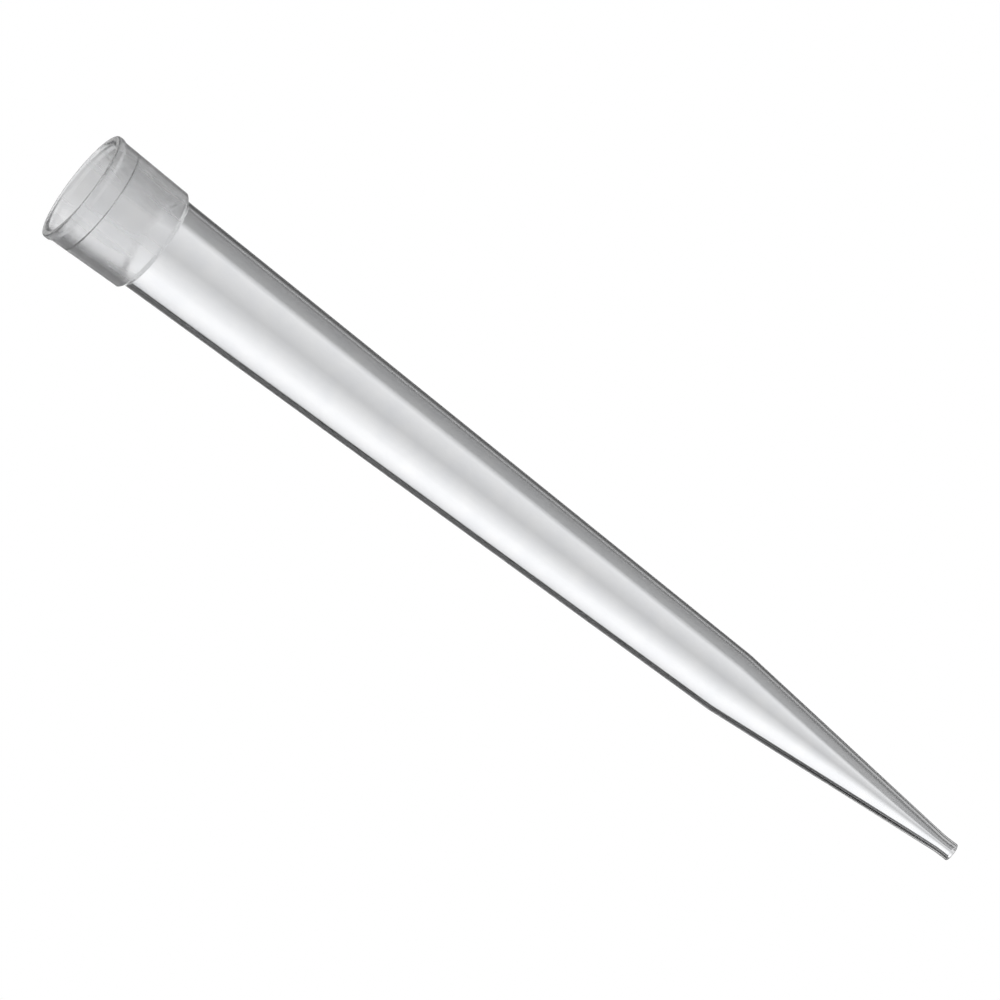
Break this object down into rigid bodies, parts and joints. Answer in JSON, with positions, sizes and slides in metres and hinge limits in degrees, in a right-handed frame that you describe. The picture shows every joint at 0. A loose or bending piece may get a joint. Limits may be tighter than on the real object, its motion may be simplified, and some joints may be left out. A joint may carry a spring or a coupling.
{
  "type": "pipette tip",
  "caption": "Clear one-piece tapered tube with a stepped collar round its open mouth and a fine hole at its point, pressed on a pipette to draw up and dispense liquid.",
  "frame": {"origin": "centre of the rim, in the plane that the tip stands on with its mouth down", "axes": "+Z along the tip's axis from the mouth to the point; the tip is round, so X and Y are free"},
  "size_m": [0.0144, 0.0144, 0.13],
  "materials": {
    "clear_polypropylene": "clear injection-moulded polypropylene, smooth and glossy, faintly hazy"
  },
  "bodies": {
    "root": {"pipette_tip": "clear_polypropylene"}
  },
  "joints": []
}
